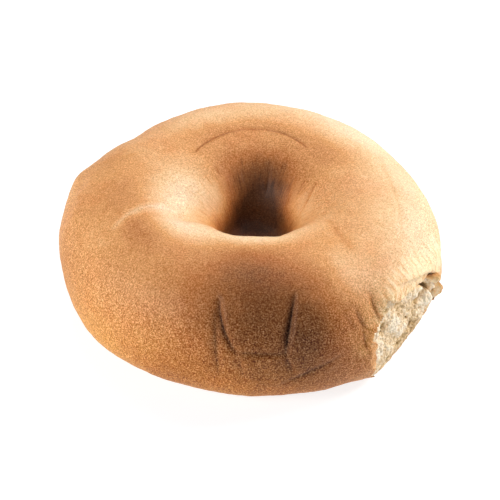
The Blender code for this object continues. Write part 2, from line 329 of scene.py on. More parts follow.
def fold_tree(kind):
    """A tree that gives the height of one fold at a place on the skin, and how deep in it that is."""
    tree = bpy.data.node_groups.new("fold on an arc", kind)
    names = ("Across", "Up", "End across", "End up", "Sag", "Depth", "Width", "Rise", "Fade")
    for name in names:
        tree_input(tree, name)
    for name in ("Height", "Crease"):
        tree.interface.new_socket(name, in_out="OUTPUT", socket_type="NodeSocketFloat")
    entry = tree.nodes.new("NodeGroupInput")
    x, y, end_x, end_y, sag, depth, width, rise, fade = (Field(tree, entry.outputs[n]) for n in names)
    length = maths("SQRT", end_x * end_x + end_y * end_y)
    along = (x * end_x + y * end_y) / length
    beside = (end_x * y - end_y * x) / length
    share = put(tree, "ShaderNodeClamp", {"Value": along / length})
    past = along - share * length
    side = beside - sag * 4.0 * share * (1.0 - share)
    away = maths("SQRT", side * side + past * past)
    strength = maths("SINE", math.pi * (0.08 + 0.84 * share)) ** 0.7
    groove = strength * depth * maths("EXPONENT", -(away / width))

    # The painted shade at the bottom of the groove lies a little to the right of the line, under the
    # shelf; on a ridge, where the depth is negative, it turns to a painted highlight
    shaded = side + width * 0.5
    crease = strength * depth * maths("EXPONENT", -(maths("SQRT", shaded * shaded + past * past) / width))
    shelf = strength * rise * maths("TANH", side / width) * maths("EXPONENT", -(away / fade))
    leaving = tree.nodes.new("NodeGroupOutput")
    plug(tree, shelf - groove, leaving.inputs["Height"])
    plug(tree, crease, leaving.inputs["Crease"])
    return tree


def turned(angle):
    """The same angle, between -180 and 180 degrees."""
    return maths("FLOORED_MODULO", angle + 180.0, 360.0) - 180.0


class Skin:
    """The dough's ring and section angles as fields, and the relief gathered so far."""

    def __init__(self, tree, ring, section):
        self.tree = tree
        self.ring = ring
        self.section = section
        self.height = None
        self.crease = None

    def place(self, around, step):
        across = turned(self.ring - around[0]) * step[0]
        up = turned(self.section - around[1]) * step[1]
        return across, up

    def spot(self, around, size, step=OUTER_STEP):
        """1 at a place on the skin, falling to nothing over its size in mm."""
        across, up = self.place(around, step)
        return maths("EXPONENT", -((across / size[0]) ** 2.0) - (up / size[1]) ** 2.0)

    def add(self, height, crease=None):
        self.height = height if self.height is None else self.height + height
        if crease is not None:
            self.crease = crease if self.crease is None else self.crease + crease

    def swells(self, rows, step):
        for ring, section, wide, high, height in rows:
            self.add(self.spot((ring, section), (wide, high), step) * height)

    def folds(self, rows, step, group):
        for ring, section, end_ring, end_section, *shape in rows:
            across, up = self.place((ring, section), step)
            node = self.tree.nodes.new(group.bl_idname.replace("NodeTree", "NodeGroup"))
            node.node_tree = group
            end = ((end_ring - ring) * step[0], (end_section - section) * step[1])
            for socket, value in zip(node.inputs, (across, up, *end, *shape)):
                plug(self.tree, value, socket)
            self.add(Field(self.tree, node.outputs["Height"]), Field(self.tree, node.outputs["Crease"]))


EVEN_BROWN = 0.5
BASE_BROWN = 0.2  # more on the base
# Darker down into the hole towards its waist: partly browning, partly painted shade
HOLE_BROWN_AND_SHADE = 0.5  # more in the hole
HOLE_SPREAD = (36.0, 6.0)  # section angles from the waist, where that starts and is full


def brown_and_painted_light(skin, height):
    """How brown the crust is, from 0 for cream to 1 for dark brown, with painted highlights and shade on
    the crown and in the hole.
    """
    brown = EVEN_BROWN + ramp(height, 2.0, 0.2) * BASE_BROWN
    places = ((BROWNED, OUTER_STEP), (CROWN_PAINTED_LIGHT_AND_SHADE, CROWN_STEP), (HOLE_PAINTED_LIGHT_AND_SHADE, HOLE_STEP))
    for rows, step in places:
        for ring, section, wide, high, amount in rows:
            brown = brown + amount * skin.spot((ring, section), (wide, high), step)
    inside = maths("ABSOLUTE", turned(skin.section - 180.0))
    return brown + ramp(inside, *HOLE_SPREAD) * HOLE_BROWN_AND_SHADE


def closer_steps(turn, closeness):
    """A turn in radians, as degrees, with its steps closer together about one angle."""
    amount, middle = closeness
    return (turn - amount * maths("SINE", turn - math.radians(middle))) * math.degrees(1.0)


def dough(skin_mesh, ring, section, rim_reach, hole_radius, crown_rise, foot_drop):
    """Sets a sheet's points on the dough's skin, and finds the torn face on it."""
    tree = skin_mesh.tree
    reach = rim_reach
    for waves, height, place in OUTLINE_WAVES:
        reach = reach + height * maths("COSINE", (ring - place) * math.radians(waves))
    across = maths("COSINE", section * math.radians(1.0))
    up = maths("SINE", section * math.radians(1.0))
    size = maths("ABSOLUTE", across) ** SECTION_POWER + maths("ABSOLUTE", up) ** SECTION_POWER
    square = size ** (-1.0 / SECTION_POWER)
    radius = (reach + hole_radius) * 0.5 + (reach - hole_radius) * 0.5 * across * square
    level = crown_rise * up * square
    sunk = maths("MAXIMUM", -level, 0.001)
    pressed = (sunk ** -UNDERSIDE_POWER + UNDERSIDE_DROP**-UNDERSIDE_POWER) ** (-1.0 / UNDERSIDE_POWER)
    below = maths("LESS_THAN", level, 0.0)
    level = level - below * (level + pressed)
    turn = ring * math.radians(1.0)
    place = vector_of(tree, radius * maths("COSINE", turn), radius * maths("SINE", turn), level)
    skin_mesh = put(tree, "GeometryNodeSetPosition", {"Geometry": skin_mesh, "Position": place})

    # Its folds, bulges and fine unevenness
    normal = put(tree, "GeometryNodeInputNormal", {})
    position = put(tree, "GeometryNodeInputPosition", {})
    skin = Skin(tree, ring, section)
    group = fold_tree("GeometryNodeTree")
    skin.swells(OUTER_SWELLS, OUTER_STEP)
    skin.swells(CROWN_SWELLS, CROWN_STEP)
    skin.folds(OUTER_FOLDS, OUTER_STEP, group)
    skin.folds(CROWN_FOLDS, CROWN_STEP, group)
    skin.folds(HOLE_FOLDS, HOLE_STEP, group)
    for lumps, detail, roughness, lump_height in UNEVENNESS:
        skin.add((noise(position, lumps, detail, roughness) - 0.5) * lump_height)
    height = put(tree, "ShaderNodeSeparateXYZ", {"Vector": position}, "Z") + foot_drop
    skin_mesh = kept(skin_mesh, "crease", skin.crease)
    skin_mesh = kept(skin_mesh, "brown_and_painted_light", brown_and_painted_light(skin, height))
    skin_mesh = shifted(skin_mesh, scaled(normal, skin.height))

    # The broken edge that stands round the torn face
    waver = (noise(position, *WAVER_LUMPS) - 0.5) * (2.0 * TEAR_WAVER)
    sideways = vector_maths("DOT_PRODUCT", position, TEAR_ALONG, "Value")
    inward = ramp(sideways, *SLANT_ENDS, 0.0, FACE_SLANT) * ramp(height, *SLANT_LEVELS)
    beyond = vector_maths("DOT_PRODUCT", position, TEAR_OUT, "Value") - TEAR_REACH + waver + inward
    skin_mesh = shifted(skin_mesh, scaled(normal, hill(beyond, LIP_WIDTH) * LIP_HEIGHT))
    edge = height + waver * 0.7
    tops = [start - edge - fall * sideways for start, fall in TEAR_TOP]
    under_top = maths("MINIMUM", *tops)
    foot, climb, lowest = TEAR_FOOT
    over_foot = edge - foot - climb * (sideways - lowest) ** 2.0
    torn = maths("MINIMUM", under_top / TEAR_SOFTNESS[0], over_foot / TEAR_SOFTNESS[1])
    face = put(tree, "ShaderNodeClamp", {"Value": torn}) * maths("GREATER_THAN", beyond, 0.0)
    strip = ramp(sideways + waver * 0.6, *STRIP_RIGHT) * ramp(edge, *STRIP_TOP)
    ragged = (noise(position, CRUMB_TOP_LUMPS[0]) - 0.5) * CRUMB_TOP_LUMPS[1]
    tops = [start - fall * sideways for start, fall in CRUMB_TOP]
    over_crumb = edge + ragged - maths("MAXIMUM", *tops)
    strip = maths("MAXIMUM", strip, ramp(over_crumb, -0.4, 0.4))
    skin_mesh = kept(skin_mesh, "torn", face * (1.0 - strip))
    skin_mesh = kept(skin_mesh, "strip", face * strip)
    skin_mesh = kept(skin_mesh, "above tear", -under_top)
    skin_mesh = kept(skin_mesh, "over crumb", over_crumb - ragged)
    skin_mesh = kept(skin_mesh, "over foot", over_foot)
    skin_mesh = kept(skin_mesh, "inward", inward)
    skin_mesh = kept(skin_mesh, "beyond tear", beyond)
    return skin_mesh, (sideways, height)


def on_base(shape, foot_drop):
    """The shape in its place on the base, with millimetres made metres."""
    tree = shape.tree
    position = put(tree, "GeometryNodeInputPosition", {})
    shape = shifted(shape, vector_of(tree, *HOLE_PLACE, foot_drop))
    x, y, z = (put(tree, "ShaderNodeSeparateXYZ", {"Vector": position}, axis) for axis in "XYZ")
    flat = vector_of(tree, x, y, maths("MAXIMUM", z, 0.0))
    shape = put(tree, "GeometryNodeSetPosition", {"Geometry": shape, "Position": flat})
    return put(tree, "GeometryNodeTransform", {"Geometry": shape, "Scale": (METRES_PER_MM,) * 3})


def crust_tree():
    tree = new_tree("bagel crust")
    sizes = ("Rim reach", "Hole radius", "Crown rise", "Foot drop", "Bed depth")
    for name in sizes:
        tree_input(tree, name)
    tree_input(tree, "Finish", "NodeSocketMaterial")
    entry = tree.nodes.new("NodeGroupInput")
    rim_reach, hole_radius, crown_rise, foot_drop, bed_depth = (
        Field(tree, entry.outputs[name]) for name in sizes
    )

    loops = []
    for steps in (RING_STEPS, SECTION_STEPS):
        loops.append(put(tree, "GeometryNodeCurvePrimitiveCircle", {"Resolution": steps, "Radius": 1.0}))
    skin_mesh = put(tree, "GeometryNodeCurveToMesh", {"Curve": loops[0], "Profile Curve": loops[1]})
    skin_mesh = put(tree, "GeometryNodeFlipFaces", {"Mesh": skin_mesh})
    index = put(tree, "GeometryNodeInputIndex", {})
    ring_step = maths("FLOOR", index / SECTION_STEPS)
    section_step = index - ring_step * SECTION_STEPS
    ring = closer_steps(ring_step * (math.tau / RING_STEPS), CLOSER_ROUND_RING)
    section_turn = section_step * (math.tau / SECTION_STEPS) - math.pi / 2.0
    section = closer_steps(section_turn, CLOSER_ROUND_SECTION)
    skin_mesh = kept(skin_mesh, "ring", ring)
    skin_mesh = kept(skin_mesh, "section", section)
    ring, section = (kept_number(tree, name) for name in ("ring", "section"))

    dough_sizes = (rim_reach, hole_radius, crown_rise, foot_drop)
    skin_mesh, (sideways, _) = dough(skin_mesh, ring, section, *dough_sizes)
    names = ("torn", "strip", "inward", "beyond tear")
    torn, strip, inward, beyond = (kept_number(tree, name) for name in names)
    pressed = strip * maths("MAXIMUM", beyond - inward - PRESSED_PROUD, 0.0)
    back = torn * (beyond + bed_depth) + pressed
    trimmed = ramp(kept_number(tree, "over foot"), *FOOT_TRIM_LEVELS) * ramp(sideways, *FOOT_TRIM_LEFT)
    trim = ramp(sideways, *SLANT_ENDS, *FOOT_TRIM)
    back = back + trimmed * (1.0 - torn) * maths("MAXIMUM", beyond + trim, 0.0)
    skin_mesh = shifted(skin_mesh, scaled(vector_of(tree, *TEAR_OUT), -back))
    finish_tree(on_base(skin_mesh, foot_drop), entry)
    return tree


def made_by(tree, name, values):
    """A plain mesh object from a tree, with the tree's inputs set by name to these values."""
    carrier = bpy.data.objects.new(name, bpy.data.meshes.new(name))
    bpy.context.scene.collection.objects.link(carrier)
    modifier = carrier.modifiers.new("shape", "NODES")
    modifier.node_group = tree
    for item in tree.interface.items_tree:
        if item.in_out == "INPUT":
            modifier[item.identifier] = values[item.name]
    carrier.update_tag()
    evaluated = carrier.evaluated_get(bpy.context.evaluated_depsgraph_get())
    mesh = bpy.data.meshes.new_from_object(evaluated)
    carrier.modifiers.remove(modifier)
    carrier.data = mesh
    mesh.name = name
    return carrier


def colour(red, green, blue):
    """A colour as it shows on a screen, from 0 to 255, as the light that a surface gives back."""
    screen = [c / 255.0 for c in (red, green, blue)]
    return tuple(c / 12.92 if c < 0.04045 else ((c + 0.055) / 1.055) ** 2.4 for c in screen) + (1.0,)


def colours(value, stops):
    """A colour for each value, from stops of place and colour."""
    node = value.tree.nodes.new("ShaderNodeValToRGB")
    band = node.color_ramp
    while len(band.elements) < len(stops):
        band.elements.new(1.0)
    for element, (place, shade) in zip(band.elements, stops):
        element.position = place
        element.color = shade
    plug(value.tree, value, node.inputs["Fac"])
    return Field(value.tree, node.outputs["Color"])


def mixed(share, first, second, blend="MIX"):
    tree = next(f.tree for f in (share, first, second) if isinstance(f, Field))
    inputs = {0: share, 6: first, 7: second}
    return put(tree, "ShaderNodeMix", inputs, 2, data_type="RGBA", blend_type=blend)


def new_material(name):
    material = bpy.data.materials.new(name)
    material.use_nodes = True
    tree = material.node_tree
    return material, tree, tree.nodes["Principled BSDF"]


def kept_value(tree, name):
    return put(tree, "ShaderNodeAttribute", {}, "Fac", attribute_name=name)


SCREEN_GAMMA = 2.2

# How much browner: painted shade in the bottoms of the folds and painted highlight on their ridges,
# painted shade in the fine gathers in the hole, and large and small mottling
FOLD_SHADE = 0.2
GATHER_SHADE = 0.14
MOTTLING = ((55.0, 3.0, 0.5, 0.22), (420.0, 3.0, 0.6, 0.16))  # per metre, detail, roughness, amount

# The pale skin above the torn face: how much paler, and how much that varies from streak to streak
PRESSED_PALE = 0.28
PRESSED_STREAKS = 1.6
PATCHES = (350.0, 3.0, 0.6, 5.0)  # of its border: per metre, detail, roughness, and reach in mm

SPECKS_PER_METRE = 2500.0
SPECK_STRENGTH = (0.45, 0.85)  # on the crown, and from the shoulder down

# Tones of the crust from the palest to the brownest, and of the bed behind the crumb
CRUST_TONES = (
    (0.0, colour(253, 226, 194)),
    (0.2, colour(236, 194, 148)),
    (0.4, colour(213, 154, 98)),
    (0.6, colour(176, 112, 62)),
    (0.8, colour(125, 77, 40)),
    (1.0, colour(72, 42, 22)),
)
BED_TONE = colour(214, 184, 138)


def crust_material():
    """Satin baked crust: fine pale speckle over gold to reddish brown, pale by the tear, with painted
    shade and highlights.
    """
    material, tree, shader = new_material("baked crust")
    place = put(tree, "ShaderNodeTexCoord", {}, "Object")
    height = put(tree, "ShaderNodeSeparateXYZ", {"Vector": place}, "Z")
    brown = kept_value(tree, "brown_and_painted_light")

    # Painted shade in the bottoms of the folds and painted highlight on their ridges, sharper than the
    # mesh could keep them
    x, y = (put(tree, "ShaderNodeSeparateXYZ", {"Vector": place}, axis) for axis in "XY")
    hole_x, hole_y = (place_mm * METRES_PER_MM for place_mm in HOLE_PLACE)
    ring = maths("ARCTAN2", y - hole_y, x - hole_x) * math.degrees(1.0)
    section = kept_value(tree, "section")
    skin = Skin(tree, ring, section)
    group = fold_tree("ShaderNodeTree")
    lines = (
        (OUTER_FOLDS, OUTER_STEP, 1.0, 0.85),
        (CROWN_FOLDS, CROWN_STEP, 2.8, 0.85),
        (HOLE_FOLDS, HOLE_STEP, 1.0, 0.5),
    )
    for rows, step, strength, narrowing in lines:
        finer = [row[:5] + (row[5] * strength, row[6] * narrowing) + row[7:] for row in rows]
        skin.folds(finer, step, group)
    # Dark streaks down the hole: painted shade in the fine gathers drawn into it
    gather_streaks = noise(vector_of(tree, ring * 0.6, section * 0.06, 0.0), 1.0, 2.0)
    in_hole = ramp(section, 116.0, 132.0) * ramp(section, 176.0, 156.0)
    gather_streaks = ramp(gather_streaks, 0.52, 0.7) * in_hole
    for patches, detail, roughness, amount in MOTTLING:
        brown = brown + (noise(place, patches, detail, roughness) - 0.5) * amount
    brown = brown + skin.crease * FOLD_SHADE + gather_streaks * GATHER_SHADE
    speckle = noise(place, SPECKS_PER_METRE, 1.0, 0.5)

    # Floury and streaked where the crust ends above the torn face
    sideways = vector_maths("DOT_PRODUCT", place, TEAR_ALONG, "Value")
    streaks = noise(vector_of(tree, sideways * 900.0, height * 260.0, 0.0), 1.0, 3.0, 0.6)
    above = kept_value(tree, "above tear")
    patchy = (noise(place, *PATCHES[:3]) - 0.5) * PATCHES[3]
    beyond = kept_value(tree, "beyond tear") + patchy
    over_crumb = ramp(kept_value(tree, "over crumb"), -1.0, 1.0)
    near = ramp(above, 9.0, 1.0) * over_crumb * ramp(beyond, -6.0, 1.0)
    low_strip = ramp(height, 0.021, 0.018, 1.0, 0.45)
    near = maths("MAXIMUM", near, kept_value(tree, "strip") * low_strip)
    near = maths("MAXIMUM", near, ramp(beyond, -5.0, 0.5) * ramp(height, 0.014, 0.02) * 0.75)
    brown = brown - near * (PRESSED_PALE - (streaks - 0.5) * PRESSED_STREAKS)
    tone = colours(brown * 0.8, CRUST_TONES)

    # Yellower towards the base on the open side, and rosy in patches
    golden = ramp(height, 0.034, 0.008) * ramp(x, 0.035, 0.0)
    golden = maths("MAXIMUM", golden * (1.0 - near), near * 0.35)
    tone = mixed(golden, tone, (1.0, 0.95, 0.6, 1.0), "MULTIPLY")
    rosy = ramp(noise(place, 75.0, 2.0), 0.48, 0.7, 0.0, 0.6)
    tone = mixed(rosy, tone, (1.0, 0.9, 0.87, 1.0), "MULTIPLY")

    # The pale specks, as strong on dark crust as on pale crust to the eye: partly the crust's own tiny
    # blisters and partly painted glints of light on them, weaker down in the hole
    strength = ramp(height, 0.037, 0.024, *SPECK_STRENGTH) * ramp(section, 140.0, 120.0, 0.3, 1.0)
    strength = strength * (1.0 - near * 0.45)
    as_seen = put(tree, "ShaderNodeGamma", {"Color": tone, "Gamma": 1.0 / SCREEN_GAMMA})
    as_seen = vector_maths("ADD", as_seen, (speckle - 0.5) * strength)
    tone = put(tree, "ShaderNodeGamma", {"Color": as_seen, "Gamma": SCREEN_GAMMA})
    tone = mixed(kept_value(tree, "torn"), tone, BED_TONE)
    plug(tree, tone, shader.inputs["Base Color"])
    plug(tree, 0.55 + (speckle - 0.5) * 0.25, shader.inputs["Roughness"])
    shader.inputs["Specular IOR Level"].default_value = 0.2
    shader.inputs["Subsurface Weight"].default_value = 0.12
    shader.inputs["Subsurface Radius"].default_value = (1.0, 0.5, 0.25)
    shader.inputs["Subsurface Scale"].default_value = 0.0012
    grain = noise(place, 1500.0, 3.0, 0.6) * 0.6 + noise(place, 500.0, 2.0) * 0.6
    bump = put(tree, "ShaderNodeBump", {"Height": grain, "Strength": 0.35, "Distance": 0.00025})
    plug(tree, bump, shader.inputs["Normal"])
    return material


crust = made_by(
    crust_tree(),
    "crust",
    {
        "Rim reach": RIM_REACH,
        "Hole radius": HOLE_RADIUS,
        "Crown rise": CROWN_RISE,
        "Foot drop": FOOT_DROP,
        "Bed depth": BED_DEPTH,
        "Finish": crust_material(),
    },
)
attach(crust, "root")
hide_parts("bagel")


# The torn crumb: the soft inside of the bagel, laid bare where the neighbour was pulled away. It is
# an open, fibrous bread with a rounded pillow at its right end and a deep groove round that.

CRUMB_RING = (-58.0, -2.0)  # the part of the skin that it is worked out on
CRUMB_SECTION = (-58.0, 52.0)
CRUMB_STEPS = (330, 260)
CRUMB_SINK = 0.3  # how far it lies behind the face on average
CRUMB_TUCK = 3.0  # how far its edge goes in under the crust
CRUMB_BACK = 14.0  # from the face to the point that closes it behind
GROOVE_START = (3.6, 20.8)  # of the groove round the pillow: place along the face, and level
GROOVE_END = (15.6, 4.5)
GROOVE_SAG = 2.8
GROOVE_DEPTH = 2.4
GROOVE_WIDTH = 0.6
# Its bottom is painted darker by this much, as painted shadow in the groove
GROOVE_SHADE = 2.4  # how much browner its bottom is

# Lumps per mm: the large and the small lumps, the pulled fibres, and the pits
LUMPS_PER_MM = 0.25
SMALL_LUMPS_PER_MM = 0.8
FIBRES_PER_MM = 1.3
PITS_PER_MM = 0.55

# Its lumps and hollows: place along the face and above the base, half size and height
CRUMB_LUMPS = (
    (11.3, 11.6, 3.2, 3.4, 1.6),
    (4.6, 18.0, 3.2, 1.6, 0.7),
    (6.0, 14.4, 2.4, 1.7, -1.3),
    (-13.5, 17.5, 1.2, 2.0, -0.9),
    (-8.5, 15.0, 2.8, 3.0, 0.9),
    (2.0, 7.6, 1.2, 1.0, -0.8),
    (-5.0, 21.0, 1.8, 1.4, -1.0),
    (-15.5, 10.0, 2.0, 3.4, 0.8),
    (-3.0, 10.4, 2.4, 2.0, 0.7),
)


def face_arc(along, level, start, end, sag):
    """Distance from an arc on the torn face."""
    run = (end[0] - start[0], end[1] - start[1])
    length = math.hypot(*run)
    x, y = along - start[0], level - start[1]
    share = put(x.tree, "ShaderNodeClamp", {"Value": (x * run[0] + y * run[1]) / length**2})
    beside = (y * run[0] - x * run[1]) / length
    past = (x * run[0] + y * run[1]) / length - share * length
    side = beside - sag * 4.0 * share * (1.0 - share)
    return maths("SQRT", side * side + past * past)


def crumb_tree():
    tree = new_tree("torn crumb")
    sizes = ("Rim reach", "Hole radius", "Crown rise", "Foot drop")
    sizes = sizes + ("Lump height", "Pit depth", "Fibre height")
    for name in sizes:
        tree_input(tree, name)
    tree_input(tree, "Finish", "NodeSocketMaterial")
    entry = tree.nodes.new("NodeGroupInput")
    *dough_sizes, lump_height, pit_depth, fibre_height = (Field(tree, entry.outputs[n]) for n in sizes)

    inputs = {"Size X": 1.0, "Size Y": 1.0, "Vertices X": CRUMB_STEPS[0], "Vertices Y": CRUMB_STEPS[1]}
    sheet = put(tree, "GeometryNodeMeshGrid", inputs)
    position = put(tree, "GeometryNodeInputPosition", {})
    x, y = (put(tree, "ShaderNodeSeparateXYZ", {"Vector": position}, axis) for axis in "XY")
    for name, share, (low, high) in (("ring", x, CRUMB_RING), ("section", y, CRUMB_SECTION)):
        sheet = kept(sheet, name, (share + 0.5) * (high - low) + low)
    ring, section = (kept_number(tree, name) for name in ("ring", "section"))
    sheet, (along, level) = dough(sheet, ring, section, *dough_sizes)
    beyond = kept_number(tree, "beyond tear")
    sheet = shifted(sheet, scaled(vector_of(tree, *TEAR_OUT), -maths("MAXIMUM", beyond, 0.0)))

    # Lumps, pits and pulled fibres
    place = vector_of(tree, along, level, 0.0)
    pulled = vector_of(tree, along * 0.5 + level * 0.9, level * 0.4 - along * 0.25, 3.0)
    lumps = noise(place, LUMPS_PER_MM, 3.0, 0.55) - 0.5
    small_lumps = noise(place, SMALL_LUMPS_PER_MM, 3.0, 0.6) - 0.5
    fibres = noise(pulled, FIBRES_PER_MM, 4.0, 0.65) - 0.5
    pits = ramp(noise(place, PITS_PER_MM, 2.0, 0.6), 0.58, 0.75)
    relief = lumps * lump_height + small_lumps * (lump_height * 0.5) + fibres * fibre_height
    relief = relief - pits * pit_depth
    for middle_along, middle_level, wide, high, height in CRUMB_LUMPS:
        away = ((along - middle_along) / wide) ** 2.0 + ((level - middle_level) / high) ** 2.0
        relief = relief + maths("EXPONENT", -away) * height
    groove = hill(face_arc(along, level, GROOVE_START, GROOVE_END, GROOVE_SAG), GROOVE_WIDTH)
    # Painted light and shade on its relief: lighter where it stands proud, darker in its pits, and a
    # painted shadow in the groove round the pillow; and darker towards its foot
    sheet = kept(sheet, "tone_and_painted_light", relief - groove * GROOVE_SHADE - ramp(level, 12.0, 3.0) * 0.3)
    foot_edge = ramp(kept_number(tree, "over foot"), 1.7, 0.5) * ramp(noise(place, 0.28, 2.0), 0.5, 0.58)
    sheet = kept(sheet, "browned", foot_edge)
    relief = relief - groove * GROOVE_DEPTH
    over = kept_number(tree, "over crumb")
    inside = ramp(beyond, -0.2, 1.0) * ramp(over, 2.0, 0.0)
    tuck = maths(
        "MAXIMUM",
        ramp(beyond, 0.3, -1.8, 0.0, CRUMB_TUCK),
        ramp(over, 0.3, 3.0, 0.0, CRUMB_TUCK),
    )
    by_foot = ramp(kept_number(tree, "over foot"), 0.0, 4.0, 0.25, 1.0)
    slant = ramp(along, *SLANT_ENDS, 0.0, FACE_SLANT) - kept_number(tree, "inward")
    sunk = CRUMB_SINK + slant + (1.0 - by_foot) * 0.6
    out = relief * inside * by_foot - sunk - tuck
    sheet = shifted(sheet, scaled(vector_of(tree, *TEAR_OUT), out))
    lift = tuck * (ramp(level, 9.0, 2.0) - ramp(level, 20.0, 30.0)) * 0.8
    sheet = shifted(sheet, vector_of(tree, 0.0, 0.0, lift))

    # Its border, drawn together to one point inside the bagel
    ends = ((ring, CRUMB_RING), (section, CRUMB_SECTION))
    shares = [maths("ABSOLUTE", (angle - low) / (high - low) - 0.5) for angle, (low, high) in ends]
    border = maths("GREATER_THAN", maths("MAXIMUM", *shares), 0.4999)
    behind = TEAR_REACH - CRUMB_BACK
    point = vector_of(tree, behind * TEAR_OUT[0], behind * TEAR_OUT[1], 0.0)
    inputs = {"Geometry": sheet, "Selection": border, "Position": point}
    sheet = put(tree, "GeometryNodeSetPosition", inputs)
    sheet = put(tree, "GeometryNodeMergeByDistance", {"Geometry": sheet, "Distance": 0.0001})
    finish_tree(on_base(sheet, dough_sizes[3]), entry)
    return tree


# From the painted shade in its pits and groove up to the painted highlight where it stands proud
CRUMB_TONES = (
    (0.0, colour(112, 82, 42)),
    (0.35, colour(184, 150, 100)),
    (0.6, colour(236, 206, 164)),
    (0.9, colour(255, 238, 214)),
)
FOOT_TONE = colour(204, 142, 84)  # of the toasted edge at its foot


def crumb_material():
    """Dry, open bread: almost white where it stands proud, buff and brown in its pores, which is painted
    highlight and painted shade on its relief.
    """
    material, tree, shader = new_material("torn crumb")
    place = put(tree, "ShaderNodeTexCoord", {}, "Object")
    light = kept_value(tree, "tone_and_painted_light") * 0.34 + 0.66
    light = light + (noise(place, 1100.0, 3.0, 0.6) - 0.5) * 0.9
    light = light + (noise(place, 160.0, 2.0) - 0.5) * 0.7
    tone = colours(light, CRUMB_TONES)
    tone = mixed(kept_value(tree, "browned") * 0.7, tone, FOOT_TONE)
    plug(tree, tone, shader.inputs["Base Color"])
    shader.inputs["Roughness"].default_value = 0.85
    shader.inputs["Subsurface Weight"].default_value = 0.2
    shader.inputs["Subsurface Radius"].default_value = (1.0, 0.8, 0.6)
    shader.inputs["Subsurface Scale"].default_value = 0.0008
    grain = noise(place, 2600.0, 3.0, 0.65)
    bump = put(tree, "ShaderNodeBump", {"Height": grain, "Strength": 0.6, "Distance": 0.0003})
    plug(tree, bump, shader.inputs["Normal"])
    return material


crumb = made_by(
    crumb_tree(),
    "torn_crumb",
    {
        "Rim reach": RIM_REACH,
        "Hole radius": HOLE_RADIUS,
        "Crown rise": CROWN_RISE,
        "Foot drop": FOOT_DROP,
        "Lump height": 2.6,
        "Pit depth": 0.8,
        "Fibre height": 1.1,
        "Finish": crumb_material(),
    },
)
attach(crumb, "root")
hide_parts("bagel")


# The curl of crust at the face's right end: a strip of browned skin, thick with crumb on its inner
# side, that tore off the neighbour and dried in a lumpy roll round the pillow.

CURL_START = (7.6, 21.2)  # along the face, and above the base
CURL_END = (18.2, 5.0)
CURL_SAG = 3.0
CURL_STEPS = (150, 72)
CURL_THICKNESS = (1.2, 1.4)  # half, in the face and out of it
CURL_PROUD = 0.6  # how far its middle stands before the face
CURL_NECK = (0.45, 1.1)  # its share of that thickness, before and at the lower end
KNOB_PLACE = 0.27  # of the upper lump, as a share of its length
CURL_LUMPS = ((KNOB_PLACE, 0.13, 0.95), (0.74, 0.15, 0.35))  # place, half length, and share added
KNOB_PROUD = 0.9  # how much further the upper lump stands out
END_SINK = 2.2  # how far its ends go in
TIP_MERGE = 0.001  # points of a tip that lie closer than this become one


def on_face(tree, along, level, proud):
    """A point of the torn face, in mm, from its place along the face, its level and how proud it is."""
    reach = proud + TEAR_REACH
    x = reach * TEAR_OUT[0] + along * TEAR_ALONG[0] + HOLE_PLACE[0]
    y = reach * TEAR_OUT[1] + along * TEAR_ALONG[1] + HOLE_PLACE[1]
    return vector_of(tree, x, y, level)


